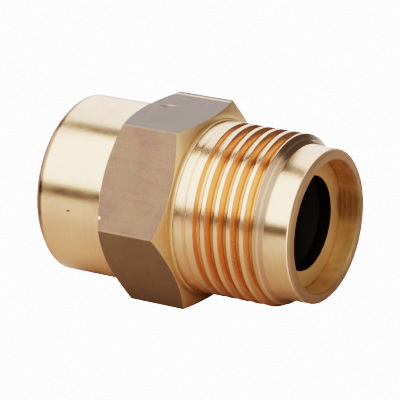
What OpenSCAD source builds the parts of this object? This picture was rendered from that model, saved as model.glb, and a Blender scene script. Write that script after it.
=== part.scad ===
// Straight male thread to tube fitting, turned from hexagon brass bar,
// with a loose flat washer on the floor of its counterbored mouth.
// Millimetres. The fitting's axis is X and its threaded nose points to +X.
// The origin is on the axis, in the plane of the hexagon's front face.
// The fitting lies on one flat of the hexagon, so two flats face up and down.

/* [Hexagon] */
// Width across the flats
hex_af = 20.5; // [20.4:0.05:21.2]
// Length of the hexagon along the axis
hex_len = 8.65; // [7:0.05:11]
// Angle of the corner chamfers, from the end faces
hex_chamfer_angle = 30; // [20:1:40]
// Diameter where the corner chamfers start on each end face
hex_face_d = 20.3; // [20:0.05:20.3]

/* [Male thread] */
// Major diameter, 3/4 inch
thread_d = 19.05; // [18.9:0.01:19.2]
// Pitch, 16 threads per inch
thread_pitch = 1.5875; // [1.5:0.0125:1.8]
// Depth of the thread, whose crests are left wide and flat
thread_depth = 0.7; // [0.6:0.05:0.95]
// Width of the groove's floor
groove_floor = 0.25; // [0.2:0.05:0.4]
// Plain band between the hexagon and the first groove
band_len = 2.2; // [1.8:0.05:2.3]
// Distance from the hexagon to the end of the thread's chamfer
thread_end = 10.8; // [10.6:0.1:12]
// Length of the chamfer at the end of the thread
thread_chamfer = 0.95; // [0.8:0.05:1.1]

/* [Nose] */
// Diameter of the plain nose ahead of the thread
nose_d = 16.9; // [16.8:0.05:17]
// Length of the plain nose
nose_len = 3.1; // [2.9:0.05:3.6]
// Chamfer on the nose's outer edge
nose_chamfer = 0.3; // [0.1:0.05:0.4]
// Chamfer on the mouth's inner edge
mouth_chamfer = 0.15; // [0.1:0.05:0.2]

/* [Mouth and washer] */
// Diameter of the counterbore in the nose
mouth_d = 14.45; // [14.4:0.05:14.6]
// Depth from the nose's end to the washer
mouth_depth = 2.4; // [2:0.1:2.8]
// Outer diameter of the seat washer
washer_d = 14.3; // [14.25:0.05:14.35]
// Hole through the seat washer
washer_hole_d = 10.4; // [10.4:0.05:11]
// Thickness of the seat washer
washer_t = 1.5; // [1:0.1:2]
// Chamfer on the washer's edges
washer_chamfer = 0.1; // [0.05:0.05:0.15]

/* [Bore and tail] */
// Bore through the fitting
bore_d = 10.3; // [9.5:0.1:10.3]
// Outer diameter of the plain tail
tail_d = 19.8; // [19:0.1:19.8]
// Length of the plain tail behind the hexagon
tail_len = 8.7; // [8:0.1:12]
// Chamfer on the tail's outer edge
tail_chamfer = 0.7; // [0.2:0.1:0.8]
// Tube socket in the tail, for a half inch tube
socket_d = 12.8; // [12.7:0.05:13]
// Depth of the tube socket
socket_depth = 9.7; // [9:0.1:11]
// Chamfer at the socket's mouth
socket_chamfer = 0.5; // [0.3:0.1:0.7]

/* [Hidden] */
$fn = 96;

// Amount by which a cut or a joined solid runs past the face it meets
past = 1;

// Places along the axis
nose_x = thread_end + nose_len;
tail_x = -hex_len - tail_len;
seat_x = nose_x - mouth_depth - washer_t;

hex_corner_d = hex_af / cos(30);
hex_chamfer_len = (hex_corner_d - hex_face_d) / 2 * tan(hex_chamfer_angle);

// Grooves have 60 degree flanks, and the last one runs out into the chamfer
groove_top = groove_floor + 2 * thread_depth * tan(30);
groove_count = ceil((thread_end - thread_chamfer - band_len) / thread_pitch);

// A cylinder along +X that starts at x
module rod(x, len, d) {
    translate([x, 0, 0])
        rotate([0, 90, 0])
            cylinder(h = len, d = d);
}

// A taper along +X that starts at x
module taper(x, len, d_start, d_finish) {
    translate([x, 0, 0])
        rotate([0, 90, 0])
            cylinder(h = len, d1 = d_start, d2 = d_finish);
}

// The hexagon, its corners cut by a taper at both ends
module chamfered_hexagon() {
    face_r = hex_face_d / 2;
    corner_r = hex_corner_d / 2;
    intersection() {
        translate([-hex_len, 0, 0])
            rotate([90, 0, 90])
                cylinder(h = hex_len, d = hex_corner_d, $fn = 6);
        translate([-hex_len, 0, 0])
            rotate([0, 90, 0])
                rotate_extrude()
                    polygon([
                        [0, 0],
                        [face_r, 0],
                        [corner_r, hex_chamfer_len],
                        [corner_r, hex_len - hex_chamfer_len],
                        [face_r, hex_len],
                        [0, hex_len]
                    ]);
    }
}

// The plain tail, from inside the hexagon to its chamfered end
module tail() {
    taper(tail_x, tail_chamfer, tail_d - 2 * tail_chamfer, tail_d);
    rod(tail_x + tail_chamfer, tail_len - tail_chamfer + past, tail_d);
}

// One thread groove centred on x, as a ring that is turned off the blank
module thread_groove(x) {
    outer = thread_d / 2 + past;
    root = thread_d / 2 - thread_depth;
    spread = past * tan(30);
    translate([x, 0, 0])
        rotate([0, 90, 0])
            rotate_extrude()
                polygon([
                    [root, -groove_floor / 2],
                    [outer, -groove_top / 2 - spread],
                    [outer, groove_top / 2 + spread],
                    [root, groove_floor / 2]
                ]);
}

// The spigot with the plain band, the thread and the chamfer at its end
module threaded_spigot() {
    difference() {
        union() {
            rod(-past, thread_end - thread_chamfer + past, thread_d);
            taper(thread_end - thread_chamfer, thread_chamfer, thread_d, nose_d);
        }
        for (i = [0 : groove_count - 1])
            thread_groove(band_len + thread_pitch * (i + 0.5));
    }
}

// The plain nose ahead of the thread
module nose() {
    rod(thread_end - past, nose_len - nose_chamfer + past, nose_d);
    taper(nose_x - nose_chamfer, nose_chamfer, nose_d, nose_d - 2 * nose_chamfer);
}

// Everything that is bored out: through bore, counterbore and tube socket
module bores() {
    rod(tail_x - past, nose_x - tail_x + 2 * past, bore_d);
    rod(seat_x, nose_x - seat_x + past, mouth_d);
    taper(nose_x - mouth_chamfer, mouth_chamfer + past,
          mouth_d, mouth_d + 2 * (mouth_chamfer + past));
    rod(tail_x - past, socket_depth + past, socket_d);
    taper(tail_x - past, socket_chamfer + past,
          socket_d + 2 * (socket_chamfer + past), socket_d);
}

// The turned body, one piece of brass
module fitting_body() {
    color("goldenrod")
        difference() {
            union() {
                chamfered_hexagon();
                tail();
                threaded_spigot();
                nose();
            }
            bores();
        }
}

// The flat washer on the floor of the counterbore
module seat_washer() {
    middle = washer_t - 2 * washer_chamfer;
    small_d = washer_d - 2 * washer_chamfer;
    color("tan")
        difference() {
            union() {
                taper(seat_x, washer_chamfer, small_d, washer_d);
                rod(seat_x + washer_chamfer, middle, washer_d);
                taper(seat_x + washer_t - washer_chamfer, washer_chamfer, washer_d, small_d);
            }
            rod(seat_x - past, washer_t + 2 * past, washer_hole_d);
        }
}

fitting_body();
seat_washer();
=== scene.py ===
"""Visual model of the brass flare fitting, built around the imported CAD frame.

The fitting's axis is X, its threaded nose points to +X, and +Z is up. Blender works in metres;
the sizes below are in millimetres, as on the CAD drawing, and go through MM.
"""
import math

import bmesh
import bpy
import numpy as np
from mathutils import Matrix, Vector

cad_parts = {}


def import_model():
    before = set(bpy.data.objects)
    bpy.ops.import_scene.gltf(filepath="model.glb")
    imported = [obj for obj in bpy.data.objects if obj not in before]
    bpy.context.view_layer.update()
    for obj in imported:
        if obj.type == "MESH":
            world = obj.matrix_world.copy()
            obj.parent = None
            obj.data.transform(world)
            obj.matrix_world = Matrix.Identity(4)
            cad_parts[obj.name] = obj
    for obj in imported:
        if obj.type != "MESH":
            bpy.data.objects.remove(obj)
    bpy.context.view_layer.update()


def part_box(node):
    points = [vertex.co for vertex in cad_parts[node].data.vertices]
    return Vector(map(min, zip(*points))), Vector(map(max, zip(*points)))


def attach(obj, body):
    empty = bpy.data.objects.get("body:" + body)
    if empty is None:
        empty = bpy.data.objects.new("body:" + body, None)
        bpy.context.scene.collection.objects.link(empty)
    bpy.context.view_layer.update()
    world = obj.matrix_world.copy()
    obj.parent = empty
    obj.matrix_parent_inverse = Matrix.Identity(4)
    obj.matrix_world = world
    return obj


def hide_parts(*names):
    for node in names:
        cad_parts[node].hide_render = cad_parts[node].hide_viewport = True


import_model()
MM = 0.001

# ---------------------------------------------------------------- sizes, in millimetres
BODY_LOW, BODY_HIGH = (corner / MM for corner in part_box("fitting_body"))
WASHER_LOW, WASHER_HIGH = (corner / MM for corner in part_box("seat_washer"))

TAIL_X = BODY_LOW.x
NOSE_X = BODY_HIGH.x
SEAT_X = WASHER_LOW.x
WASHER_X = WASHER_HIGH.x
WASHER_R = WASHER_HIGH.y

HEX_R = BODY_HIGH.z
HEX_REAR = -8.65
HEX_FACE_R = 10.15
HEX_CORNER_ROUND = 0.10
CHAMFER_SLOPE = math.tan(math.radians(30))

THREAD_R = 9.525
THREAD_END = 10.8
THREAD_CHAMFER = 0.95
PITCH = 1.5875
THREAD_DEPTH = 0.7
GROOVE_FLOOR = 0.25
# Where a crest crosses the +Y side of the fitting
CREST_X = 3.15
# The thread tool leaves the metal between these places, so the first grooves are shallow
RUN_OUT_START, RUN_OUT_END = 0.9, 3.9

NOSE_R = 8.45
NOSE_CHAMFER = 0.30
MOUTH_R = 7.225
MOUTH_CHAMFER = 0.15
TAIL_R = 9.9
TAIL_CHAMFER = 0.70
SOCKET_R = 6.4
SOCKET_DEPTH = 9.7
SOCKET_CHAMFER = 0.50
BORE_R = 5.15
WASHER_HOLE_R = 5.2

# ---------------------------------------------------------------- the grid that the body is drawn on
# The body is one closed sheet: rings that follow its outline, each with one point per column.
FLAT_COLUMNS = 38
CORNER_COLUMNS = 6
FULL_TURN = 2 * math.pi
THREAD_RING_STEP = 0.045
FLAT_RINGS = 10
# Rings over the edge between a chamfer and the flats that belong to the chamfer
HEX_CHAMFER_RINGS = 3
# Rings at the end of the washer's outline that belong to the wall of its hole
HOLE_WALL_RINGS = 6


def hexagon_columns():
    """Angles of the columns, measured from +Y towards +Z, with extra ones on the hexagon's corners."""
    flat_half = math.atan((HEX_R - HEX_CORNER_ROUND) * math.tan(math.pi / 6) / HEX_R)
    corner_half = math.pi / 6 - flat_half
    flat = np.linspace(-flat_half, flat_half, FLAT_COLUMNS)
    corner = np.linspace(-corner_half, corner_half, CORNER_COLUMNS + 2)[1:-1] + math.pi / 6
    sector = np.concatenate([flat, corner]) + math.pi / 6
    return np.concatenate([sector + side * math.pi / 3 for side in range(6)])


ANGLES = hexagon_columns()
COLUMNS = len(ANGLES)
ONES = np.ones(COLUMNS)


def hexagon_radius():
    """Distance from the axis to the hexagon's side, whose corners are slightly rounded."""
    from_flat = (ANGLES % (math.pi / 3)) - math.pi / 6
    straight = HEX_R / np.cos(from_flat)
    centre = (HEX_R - HEX_CORNER_ROUND) / math.cos(math.pi / 6)
    from_corner = math.pi / 6 - np.abs(from_flat)
    across = centre * np.sin(from_corner)
    arc = centre * np.cos(from_corner) + np.sqrt(np.maximum(HEX_CORNER_ROUND**2 - across**2, 0))
    flat_half = math.atan((HEX_R - HEX_CORNER_ROUND) * math.tan(math.pi / 6) / HEX_R)
    return np.where(np.abs(from_flat) <= flat_half + 1e-9, straight, arc)


def rounded_outline(points):
    """Outline points (x, r, rounding) turned into (x, r) with an arc at each corner.

    A point beside each arc keeps the faces between the arcs straight when they are shaded smooth.
    """
    out = []
    for i, (x, r, rounding) in enumerate(points):
        here = Vector((x, r))
        if rounding == 0 or i in (0, len(points) - 1):
            out.append(here)
            continue
        back = (Vector(points[i - 1][:2]) - here).normalized()
        ahead = (Vector(points[i + 1][:2]) - here).normalized()
        half = back.angle(ahead) / 2
        reach = rounding / math.tan(half)
        centre = here + (back + ahead).normalized() * (rounding / math.sin(half))
        start, end = here + back * reach, here + ahead * reach
        out.append(start + back * rounding * 0.5)
        steps = 4
        for k in range(steps + 1):
            spoke = (start - centre).lerp(end - centre, k / steps).normalized()
            out.append(centre + spoke * rounding)
        out.append(end + ahead * rounding * 0.5)
    return [(p.x, p.y) for p in out]


def turned_rings(points):
    """Rings of a turned stretch, from rounded outline points."""
    return [(x * ONES, r * ONES) for x, r in rounded_outline(points)]


def soft_least(a, b, width):
    """The smaller of two values, blended where they are within width of each other."""
    blend = np.clip(0.5 + 0.5 * (b - a) / width, 0, 1)
    return b + (a - b) * blend - width * blend * (1 - blend) * 0.5


def thread_rings():
    """Rings of the threaded stretch, from the end of its chamfer back to the plain band.

    The groove is a 60 degree V with a rounded floor that climbs one pitch a turn.
    """
    crest_round, floor_round, chamfer_round = 0.06, 0.08, 0.05
    flank = math.tan(math.radians(60))
    rings = []
    first = THREAD_END - THREAD_RING_STEP
    last = RUN_OUT_START + THREAD_RING_STEP / 2
    for x in np.arange(first, last, -THREAD_RING_STEP):
        turns = (x - CREST_X) / PITCH - ANGLES / FULL_TURN
        from_floor = np.abs((turns % 1) - 0.5) * PITCH - GROOVE_FLOOR / 2
        side = np.maximum(from_floor, 0)
        side = np.where(side < floor_round, side**2 / (2 * floor_round), side - floor_round / 2)
        fade = np.clip((x - RUN_OUT_START) / (RUN_OUT_END - RUN_OUT_START), 0, 1)
        depth = THREAD_DEPTH * fade * fade * (3 - 2 * fade)
        r = soft_least(THREAD_R - depth + side * flank, THREAD_R * ONES, crest_round * fade + 1e-4)
        chamfer = NOSE_R + (THREAD_END - x) * (THREAD_R - NOSE_R) / THREAD_CHAMFER
        rings.append((x * ONES, soft_least(r, chamfer * ONES, chamfer_round)))
    return rings


def hexagon_rings():
    """Rings of the hexagon's chamfers and flats, from its front face to its rear face."""
    side = hexagon_radius()
    edge_round = 0.06
    cut = (side - HEX_FACE_R) * CHAMFER_SLOPE
    front, rear = -cut, HEX_REAR + cut
    # Both edges are rounded alike, in steps along X and R from where the cone meets the side
    cone = Vector((CHAMFER_SLOPE, -1)).normalized()
    flat = Vector((-1, 0))
    corner = rounded_outline([(cone.x, cone.y, 0), (0, 0, edge_round), (flat.x, flat.y, 0)])[1:-1]
    rings = [(front + x, side + r) for x, r in corner]
    first, last = front + corner[-1][0], rear - corner[-1][0]
    for share in np.linspace(0, 1, FLAT_RINGS + 2)[1:-1]:
        rings.append((first + (last - first) * share, side.copy()))
    rings += [(rear - x, side + r) for x, r in reversed(corner)]
    return rings


# ---------------------------------------------------------------- meshes
# Numbers of the body's materials
TURNED, FACED, DRAWN, BORED, SHADED_BORE, SHADED_RIM = range(6)


def closed_sheet(name, stretches, angles, materials):
    """A closed mesh from stretches of (rings, material number), joined end to end and back to the start.

    A ring is (x, r), each one value per angle. A face takes the material of the ring it starts from.
    """
    rings = [ring for stretch, _ in stretches for ring in stretch]
    zones = [zone for stretch, zone in stretches for _ in stretch]
    x = np.array([ring[0] for ring in rings])
    r = np.array([ring[1] for ring in rings])
    points = np.stack([x, r * np.cos(angles), r * np.sin(angles)], axis=2) * MM
    count, columns = x.shape
    faces = [
        (
            i * columns + j,
            ((i + 1) % count) * columns + j,
            ((i + 1) % count) * columns + (j + 1) % columns,
            i * columns + (j + 1) % columns,
        )
        for i in range(count)
        for j in range(columns)
    ]
    mesh = bpy.data.meshes.new(name)
    mesh.from_pydata(points.reshape(-1, 3).tolist(), [], faces)
    for material in materials:
        mesh.materials.append(material)
    mesh.polygons.foreach_set("material_index", np.repeat(zones, columns).astype(np.int32))
    mesh.polygons.foreach_set("use_smooth", np.ones(len(faces), bool))
    sheet = bmesh.new()
    sheet.from_mesh(mesh)
    bmesh.ops.recalc_face_normals(sheet, faces=sheet.faces)
    sheet.to_mesh(mesh)
    sheet.free()
    piece = bpy.data.objects.new(name, mesh)
    bpy.context.scene.collection.objects.link(piece)
    return piece


def body_stretches():
    """The body's outline, from the mouth's edge round the outside and back through the bore."""
    edge = 0.06
    rim = [
        (NOSE_X - MOUTH_CHAMFER, MOUTH_R, 0),
        (NOSE_X, MOUTH_R + MOUTH_CHAMFER, edge),
        (NOSE_X, NOSE_R - NOSE_CHAMFER, edge),
        (NOSE_X - NOSE_CHAMFER, NOSE_R, 0),
    ]
    nose = [
        (NOSE_X - NOSE_CHAMFER, NOSE_R, 0),
        (NOSE_X - 0.40, NOSE_R, 0),
        (THREAD_END, NOSE_R, 0),
    ]
    band = [
        (RUN_OUT_START, THREAD_R, 0),
        (0.30, THREAD_R, 0),
    ]
    front_face = [
        (0.28, THREAD_R, 0),
        (0, THREAD_R, 0.25),
        (0, HEX_FACE_R, 0),
    ]
    rear_face = [
        (HEX_REAR, HEX_FACE_R, 0),
        (HEX_REAR, TAIL_R, 0.08),
        (HEX_REAR - 0.15, TAIL_R, 0),
    ]
    tail = [
        (HEX_REAR - 0.20, TAIL_R, 0),
        (TAIL_X + TAIL_CHAMFER, TAIL_R, 0.15),
        (TAIL_X, TAIL_R - TAIL_CHAMFER, 0.15),
        (TAIL_X, SOCKET_R + SOCKET_CHAMFER, edge),
    ]
    socket = [
        (TAIL_X, SOCKET_R + SOCKET_CHAMFER, 0),
        (TAIL_X + SOCKET_CHAMFER, SOCKET_R, edge),
        (TAIL_X + SOCKET_DEPTH, SOCKET_R, edge),
        (TAIL_X + SOCKET_DEPTH, BORE_R + 0.2, 0),
    ]
    bore = [
        (TAIL_X + SOCKET_DEPTH, BORE_R, 0),
        (SEAT_X, BORE_R, 0),
    ]
    mouth = [
        (SEAT_X, BORE_R + 0.2, 0),
        (SEAT_X, MOUTH_R, edge),
        (NOSE_X - MOUTH_CHAMFER - 0.05, MOUTH_R, 0),
    ]
    hexagon = hexagon_rings()
    return [
        # The rim's faces take the rim's painted shade
        (turned_rings(rim), SHADED_RIM),
        (turned_rings(nose), TURNED),
        (thread_rings(), TURNED),
        (turned_rings(band), TURNED),
        (turned_rings(front_face), FACED),
        (hexagon[:HEX_CHAMFER_RINGS], FACED),
        (hexagon[HEX_CHAMFER_RINGS:-HEX_CHAMFER_RINGS], DRAWN),
        (hexagon[-HEX_CHAMFER_RINGS:], FACED),
        (turned_rings(rear_face), FACED),
        (turned_rings(tail), TURNED),
        (turned_rings(socket), BORED),
        # The bore is coloured near-black as painted shade
        (turned_rings(bore), SHADED_BORE),
        (turned_rings(mouth), BORED),
    ]


def washer_stretches():
    """The seat washer's outline: brass, but for the wall of its hole, which has the same painted shade as
    the bore.
    """
    edge = 0.015
    points = [
        (WASHER_X, WASHER_HOLE_R + 0.5, 0),
        (WASHER_X, WASHER_R, edge),
        (SEAT_X, WASHER_R, edge),
        (SEAT_X, WASHER_HOLE_R, edge),
        (WASHER_X - 0.10, WASHER_HOLE_R, 0),
    ]
    hole_edge = [
        (WASHER_X - 0.08, WASHER_HOLE_R, 0),
        (WASHER_X, WASHER_HOLE_R, 0.04),
        (WASHER_X, WASHER_HOLE_R + 0.4, 0),
    ]
    outside, hole = turned_rings(points), turned_rings(hole_edge)
    brass_rings, wall_rings = outside[:-HOLE_WALL_RINGS], outside[-HOLE_WALL_RINGS:]
    return [(brass_rings, 0), (wall_rings, 1), (hole, 0)]


# ---------------------------------------------------------------- materials
def new_material(name):
    """An empty node material, returned with its tree and its Principled shader."""
    material = bpy.data.materials.new(name)
    material.use_nodes = True
    return material, material.node_tree, material.node_tree.nodes["Principled BSDF"]


def add(tree, kind, links=(), **settings):
    """One node with its settings, and its inputs linked or given values."""
    node = tree.nodes.new("ShaderNode" + kind)
    for key, value in settings.items():
        setattr(node, key, value)
    for key, value in dict(links).items():
        if isinstance(value, bpy.types.NodeSocket):
            tree.links.new(value, node.inputs[key])
        else:
            node.inputs[key].default_value = value
    return node


def maths(tree, operation, a, b=0.0, clamp=False):
    """One Math node's output."""
    return add(tree, "Math", {0: a, 1: b}, operation=operation, use_clamp=clamp).outputs[0]


def times(tree, a, b):
    """The product of two values."""
    return maths(tree, "MULTIPLY", a, b)


def rise_above(tree, value, start, width):
    """Nought up to a start, then rising to one over a width."""
    return maths(tree, "DIVIDE", maths(tree, "SUBTRACT", value, start), width, clamp=True)


def rise_below(tree, value, start, width):
    """Nought down to a start, then rising to one over a width below it."""
    return maths(tree, "DIVIDE", maths(tree, "SUBTRACT", start, value), width, clamp=True)


def mix(tree, share, a, b):
    """A colour between a and b."""
    node = add(tree, "Mix", data_type="RGBA")
    for socket, value in ((0, share), (6, a), (7, b)):
        if isinstance(value, bpy.types.NodeSocket):
            tree.links.new(value, node.inputs[socket])
        else:
            node.inputs[socket].default_value = value
    return node.outputs[2]


def ramp(tree, value, stops):
    """A grey level for a value, from (place, level) stops."""
    node = add(tree, "ValToRGB", {0: value})
    band = node.color_ramp
    while len(band.elements) < len(stops):
        band.elements.new(0.5)
    for element, (place, level) in zip(band.elements, stops):
        element.position = place
        element.color = (level, level, level, 1)
    return node.outputs[0]


def noise(tree, vector, scale, detail=4.0, roughness=0.5):
    """Noise of a given scale, from 0 to 1."""
    links = {"Vector": vector, "Scale": scale, "Detail": detail, "Roughness": roughness}
    return add(tree, "TexNoise", links).outputs[0]


def object_place(tree):
    """The shading point in millimetres, and its parts."""
    where = add(tree, "TexCoord").outputs["Object"]
    scaled = add(tree, "VectorMath", {0: where, 3: 1 / MM}, operation="SCALE").outputs[0]
    parts = add(tree, "SeparateXYZ", {0: scaled}).outputs
    return scaled, parts


def turning_lines(tree, parts, pitch):
    """Noise that is even round the axis, as a lathe tool leaves it, and the distance from the axis."""
    squares = maths(tree, "ADD", times(tree, parts[1], parts[1]), times(tree, parts[2], parts[2]))
    radius = maths(tree, "SQRT", squares)
    around = add(tree, "CombineXYZ", {0: parts[0], 1: radius, 2: 0.0}).outputs[0]
    return noise(tree, around, 1 / pitch, detail=3.0, roughness=0.65), radius


def between(tree, value, low, high, soft):
    """One where a value lies between two limits, and nought outside, with soft edges."""
    return times(tree, rise_above(tree, value, low, soft), rise_below(tree, value, high, soft))


def spot(tree, place, centre, size):
    """One inside a small ellipsoid, fading to nought at its edge; centre and half sizes in millimetres."""
    away = add(tree, "VectorMath", {0: place, 1: centre}, operation="SUBTRACT").outputs[0]
    away = add(tree, "VectorMath", {0: away, 1: size}, operation="DIVIDE").outputs[0]
    reach = add(tree, "VectorMath", {0: away}, operation="LENGTH").outputs["Value"]
    inside = maths(tree, "SUBTRACT", 1.0, reach, clamp=True)
    return maths(tree, "MULTIPLY", inside, 2.0, clamp=True)


def brass(name, base, worn, roughness, line_pitch, line_depth, stain=0.35, metallic=1.0, outside=False):
    """Bare turned brass: tool lines, blotches of tarnish and a patch of painted shade inside the mouth.

    The body's outside also has painted shade in its thread's grooves and on its tail's end, a dull chamfer
    at its thread's end with a painted highlight round it, and a nick on its tail.
    """
    material, tree, shader = new_material(name)
    place, parts = object_place(tree)
    lines, radius = turning_lines(tree, parts, line_pitch)
    blotch = noise(tree, place, 0.28, detail=5.0, roughness=0.6)
    smear = ramp(tree, blotch, [(0.40, 0.0), (0.68, 1.0)])
    grain = noise(tree, place, 9.0, detail=6.0, roughness=0.7)
    colour = mix(tree, times(tree, smear, stain), base, worn)
    line_shade = tuple(c * 0.72 for c in worn[:3]) + (1,)
    line_share = times(tree, ramp(tree, lines, [(0.35, 1.0), (0.6, 0.0)]), 0.22)
    colour = mix(tree, line_share, colour, line_shade)
    if outside:
        # Painted shade in the thread's grooves, orange like light bounced between the flanks, and darker
        # painted shade at their roots
        thread = between(tree, parts[0], RUN_OUT_START, THREAD_END - THREAD_CHAMFER, 0.3)
        groove = times(tree, thread, rise_below(tree, radius, THREAD_R - 0.01, 0.05))
        colour = mix(tree, groove, colour, (0.80, 0.43, 0.24, 1))
        root_shade = times(tree, thread, rise_below(tree, radius, THREAD_R - 0.50, 0.15))
        colour = mix(tree, root_shade, colour, (0.50, 0.24, 0.11, 1))
        # The chamfer at the thread's end is dull, with a painted highlight as a pale line round it
        chamfer = between(tree, parts[0], THREAD_END - THREAD_CHAMFER - 0.1, THREAD_END, 0.15)
        colour = mix(tree, times(tree, chamfer, 0.8), colour, (0.70, 0.45, 0.31, 1))
        painted_highlight_line = between(tree, parts[0], THREAD_END - 0.60, THREAD_END - 0.38, 0.08)
        colour = mix(tree, times(tree, painted_highlight_line, 0.8), colour, (0.96, 0.72, 0.50, 1))
        # The tail's end has painted shade, darker on its upper part
        end = rise_below(tree, parts[0], TAIL_X + 1.20, 0.25)
        upper_shade_share = rise_above(tree, parts[2], -4.0, 4.0)
        end = times(tree, end, maths(tree, "ADD", 0.15, times(tree, upper_shade_share, 0.75)))
        colour = mix(tree, end, colour, (0.16, 0.10, 0.07, 1))
        # A nick on the tail
        nick = spot(tree, place, (-12.75, -9.8, 0.7), (0.28, 0.5, 0.14))
        colour = mix(tree, nick, colour, (0.10, 0.06, 0.03, 1))
    # A patch of painted shade inside the mouth
    mouth_shade_patch = spot(tree, place, (NOSE_X - 1.4, MOUTH_R, -0.2), (3.0, 1.2, 2.4))
    mouth_shade_patch = times(tree, mouth_shade_patch, ramp(tree, lines, [(0.35, 0.75), (0.65, 0.2)]))
    colour = mix(tree, mouth_shade_patch, colour, (0.22, 0.12, 0.05, 1))
    tree.links.new(colour, shader.inputs["Base Color"])
    rough = maths(tree, "ADD", roughness - 0.06, times(tree, smear, 0.10))
    rough = maths(tree, "ADD", rough, times(tree, lines, 0.08))
    tree.links.new(rough, shader.inputs["Roughness"])
    shader.inputs["Metallic"].default_value = metallic
    if outside:
        bare = maths(tree, "SUBTRACT", 1.0, times(tree, groove, 0.15))
        tree.links.new(bare, shader.inputs["Metallic"])
    height = maths(tree, "ADD", lines, times(tree, grain, 0.45))
    bump = add(tree, "Bump", {"Strength": 1.0, "Distance": line_depth * MM, "Height": height})
    tree.links.new(bump.outputs[0], shader.inputs["Normal"])
    return material


def drawn_skin():
    """The hexagon's sides as the bar was drawn: a dull mottled skin, worn bright along its corners, with
    painted sheen on the sides that face up, painted shade on those facing down and a painted highlight
    beside the far top corner.
    """
    material, tree, shader = new_material("drawn_hexagon_skin")
    place, parts = object_place(tree)
    _, radius = turning_lines(tree, parts, 1.0)
    along = add(tree, "VectorMath", {0: place, 1: (0.15, 1.8, 1.8)}, operation="MULTIPLY").outputs[0]
    streak = noise(tree, along, 1.0, detail=5.0, roughness=0.6)
    blotch = noise(tree, place, 1.0, detail=7.0, roughness=0.72)
    patch = noise(tree, place, 0.30, detail=3.0, roughness=0.5)
    speck = noise(tree, place, 6.0, detail=5.0, roughness=0.7)
    pink, grey = (0.275, 0.155, 0.112, 1), (0.235, 0.178, 0.116, 1)
    rose, brown = (0.215, 0.118, 0.105, 1), (0.16, 0.09, 0.06, 1)
    colour = mix(tree, ramp(tree, blotch, [(0.38, 0.0), (0.64, 1.0)]), pink, grey)
    layers = (
        (patch, [(0.42, 0.0), (0.60, 1.0)], 0.55, rose),
        (streak, [(0.48, 0.0), (0.66, 1.0)], 0.18, brown),
        (speck, [(0.52, 0.0), (0.68, 1.0)], 0.32, (0.40, 0.29, 0.20, 1)),
    )
    for pattern, stops, share, tone in layers:
        colour = mix(tree, times(tree, ramp(tree, pattern, stops), share), colour, tone)
    # The sides that face up have a painted sheen, a greyer skin, and those that face down have painted
    # shade, a browner one
    up = add(tree, "SeparateXYZ", {0: add(tree, "TexCoord").outputs["Normal"]}).outputs[2]
    colour = mix(tree, ramp(tree, up, [(0.70, 0.0), (0.95, 0.75)]), colour, (0.150, 0.128, 0.128, 1))
    down = times(tree, up, -1.0)
    colour = mix(tree, ramp(tree, down, [(0.30, 0.0), (0.45, 0.7)]), colour, (0.205, 0.145, 0.090, 1))
    # A scratch on the top side, its burr rubbed bright, and a knock on the front side's rear edge
    marks = (
        ((-6.7, 0.8, HEX_R), (0.7, 0.26, 0.3), (0.08, 0.05, 0.04, 1)),
        ((-6.1, 1.4, HEX_R), (0.8, 0.16, 0.3), (0.55, 0.42, 0.28, 1)),
        ((-8.0, -11.3, 1.2), (0.40, 0.6, 0.24), (0.90, 0.68, 0.46, 1)),
    )
    for centre, size, tone in marks:
        colour = mix(tree, spot(tree, place, centre, size), colour, tone)
    # A thin rubbed line runs along each corner, and a wider strip of painted highlight beside the far top
    # corner
    worn = rise_above(tree, radius, 11.72, 0.10)
    far_side = maths(tree, "GREATER_THAN", parts[1], 0.0)
    top_side = maths(tree, "GREATER_THAN", parts[2], HEX_R - 0.1)
    painted_highlight_strip = times(tree, between(tree, radius, 11.36, 11.56, 0.05), times(tree, far_side, top_side))
    wear_and_painted_highlight = maths(tree, "MAXIMUM", times(tree, worn, 0.14), times(tree, painted_highlight_strip, 0.85))
    wear_and_painted_highlight = times(tree, wear_and_painted_highlight, ramp(tree, blotch, [(0.30, 0.4), (0.50, 1.0)]))
    colour = mix(tree, wear_and_painted_highlight, colour, (0.86, 0.60, 0.40, 1))
    tree.links.new(colour, shader.inputs["Base Color"])
    shader.inputs["Metallic"].default_value = 0.35
    rough = maths(tree, "ADD", 0.42, times(tree, blotch, 0.25))
    tree.links.new(rough, shader.inputs["Roughness"])
    height = maths(tree, "ADD", streak, times(tree, speck, 0.8))
    bump = add(tree, "Bump", {"Strength": 1.0, "Distance": 0.014 * MM, "Height": height})
    tree.links.new(bump.outputs[0], shader.inputs["Normal"])
    return material


def painted_shade_bore():
    """The drilled bore, coloured near-black as painted shade."""
    material, tree, shader = new_material("drilled_bore_painted_shade")
    _, parts = object_place(tree)
    lines, _ = turning_lines(tree, parts, 0.3)
    colour = mix(tree, lines, (0.018, 0.015, 0.010, 1), (0.040, 0.030, 0.018, 1))
    tree.links.new(colour, shader.inputs["Base Color"])
    shader.inputs["Metallic"].default_value = 0.3
    rough = maths(tree, "ADD", 0.45, times(tree, lines, 0.2))
    tree.links.new(rough, shader.inputs["Roughness"])
    return material


# ---------------------------------------------------------------- the fitting
turned = brass("turned_brass", (0.90, 0.63, 0.39, 1), (0.80, 0.50, 0.35, 1), 0.19, 0.16, 0.014, stain=0.6,
               outside=True)
faced = brass("faced_brass", (0.88, 0.62, 0.37, 1), (0.78, 0.51, 0.29, 1), 0.36, 0.14, 0.006, metallic=0.85)
bored = brass("bored_brass", (0.76, 0.50, 0.26, 1), (0.54, 0.33, 0.15, 1), 0.44, 0.22, 0.016, stain=0.8,
              metallic=0.5)
soft = brass("soft_washer_brass", (0.72, 0.48, 0.26, 1), (0.62, 0.39, 0.19, 1), 0.46, 0.30, 0.006,
             metallic=0.35)
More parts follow.
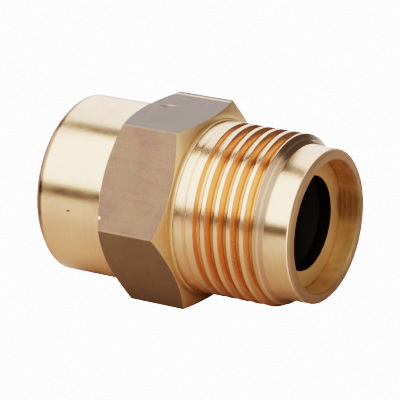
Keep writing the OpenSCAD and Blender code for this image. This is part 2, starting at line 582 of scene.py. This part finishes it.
# The rim is faced brass coloured darker, as painted shade
rim = brass("rim_brass_painted_shade", (0.50, 0.32, 0.20, 1), (0.40, 0.25, 0.15, 1), 0.42, 0.20, 0.008, metallic=0.7)
# Painted shade for the bore and for the wall of the washer's hole
bore_shade = painted_shade_bore()

body_materials = [turned, faced, drawn_skin(), bored, bore_shade, rim]
body = closed_sheet("brass_body", body_stretches(), ANGLES, body_materials)
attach(body, "body")
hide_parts("fitting_body")

washer = closed_sheet("flat_seat_washer", washer_stretches(), ANGLES, [soft, bore_shade])
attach(washer, "washer")
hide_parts("seat_washer")


# ---------------------------------------------------------------- floor, lamps and camera
def white_card():
    """The plain white floor that the camera sees."""
    material, _, shader = new_material("white_card")
    shader.inputs["Base Color"].default_value = (0.85, 0.85, 0.85, 1)
    shader.inputs["Roughness"].default_value = 0.9
    shader.inputs["Emission Color"].default_value = (1, 1, 1, 1)
    shader.inputs["Emission Strength"].default_value = 6.0
    return material


def shaded_card():
    """The floor that the metal reflects: warm and shaded beside the fitting, pale further out."""
    material, tree, shader = new_material("shaded_card")
    _, parts = object_place(tree)
    far = rise_above(tree, maths(tree, "ABSOLUTE", parts[1]), 8.0, 30.0)
    colour = mix(tree, far, (0.56, 0.46, 0.41, 1), (0.78, 0.70, 0.66, 1))
    tree.links.new(colour, shader.inputs["Base Color"])
    shader.inputs["Roughness"].default_value = 0.9
    return material


def floor(name, material, for_camera):
    """A floor six metres wide under the hexagon's flat, seen either by the camera or in the metal."""
    half = 3.0
    z = BODY_LOW.z * MM
    mesh = bpy.data.meshes.new(name)
    corners = [(-half, -half, z), (half, -half, z), (half, half, z), (-half, half, z)]
    mesh.from_pydata(corners, [], [(0, 1, 2, 3)])
    mesh.materials.append(material)
    piece = bpy.data.objects.new(name, mesh)
    piece.visible_camera = for_camera
    piece.visible_glossy = not for_camera
    piece.visible_diffuse = not for_camera
    bpy.context.scene.collection.objects.link(piece)


def soft_box(name, corner, side, rise, brightness, colour=(1, 1, 1)):
    """A rectangular lamp with one corner at a place, its two sides given, in metres, facing the fitting.

    Its brightness is the level at which it shows in a mirror.
    """
    corner, side, rise = Vector(corner), Vector(side), Vector(rise)
    lamp = bpy.data.lights.new(name, "AREA")
    lamp.shape = "RECTANGLE"
    lamp.color = colour
    lamp.size, lamp.size_y = side.length, rise.length
    lamp.energy = brightness * math.pi * side.length * rise.length
    centre = corner + (side + rise) / 2
    across, up = side.normalized(), rise.normalized()
    away = across.cross(up)
    if away.dot(centre) < 0:
        across, away = -across, -away
    piece = bpy.data.objects.new(name, lamp)
    piece.matrix_world = Matrix.Translation(centre) @ Matrix((across, up, away)).transposed().to_4x4()
    bpy.context.scene.collection.objects.link(piece)


def world(horizon, sky):
    """A dim room, darkest at the horizon, with a pale background for the camera alone."""
    room = bpy.data.worlds.new("room")
    bpy.context.scene.world = room
    room.use_nodes = True
    tree = room.node_tree
    background = tree.nodes["Background"]
    direction = add(tree, "TexCoord").outputs["Generated"]
    height = add(tree, "SeparateXYZ", {0: direction}).outputs[2]
    level = ramp(tree, height, [(0.0, horizon), (0.10, horizon), (0.22, sky), (1.0, sky)])
    eye = add(tree, "LightPath").outputs["Is Camera Ray"]
    level = mix(tree, eye, level, (6.0, 6.0, 6.0, 1))
    tree.links.new(level, background.inputs[0])
    background.inputs[1].default_value = 1.0


def camera(target, azimuth, elevation, roll, distance, lens):
    """A long lens at the photograph's viewing angle, in degrees and millimetres."""
    a, e, turn = (math.radians(v) for v in (azimuth, elevation, roll))
    right = Vector((math.cos(a), math.sin(a), 0))
    back = Vector((math.sin(a) * math.cos(e), -math.cos(a) * math.cos(e), math.sin(e)))
    up = back.cross(right)
    level_right, level_up = right, up
    right = level_right * math.cos(turn) + level_up * math.sin(turn)
    up = level_up * math.cos(turn) - level_right * math.sin(turn)
    data = bpy.data.cameras.new("camera")
    data.sensor_width = 36
    data.lens = lens
    data.clip_start, data.clip_end = 0.01, 20
    piece = bpy.data.objects.new("camera", data)
    place = (Vector(target) + back * distance) * MM
    piece.matrix_world = Matrix.Translation(place) @ Matrix((right, up, back)).transposed().to_4x4()
    bpy.context.scene.collection.objects.link(piece)
    bpy.context.scene.camera = piece


floor("white_floor", white_card(), for_camera=True)
floor("shaded_floor", shaded_card(), for_camera=False)
world(horizon=0.09, sky=0.12)
soft_box("front_box", (-0.9, -0.50, 0.150), (1.12, 0, 0), (0, 0.475, 0.395), 2.4,
         colour=(1.0, 0.975, 0.89))
soft_box("rear_box", (-0.9, 0.50, 0.01), (0.9, 0, 0), (0, -0.36, 0.54), 1.5)
soft_box("nose_box", (0.7, -0.35, 0.02), (0, 0.7, 0), (-0.15, 0, 0.45), 0.75)
camera((-1.83, -0.27, 0.47), azimuth=31.72, elevation=21.41, roll=-2.04, distance=310.4, lens=255.7)
bpy.context.scene.view_settings.view_transform = "Filmic"
bpy.context.scene.view_settings.look = "Very High Contrast"
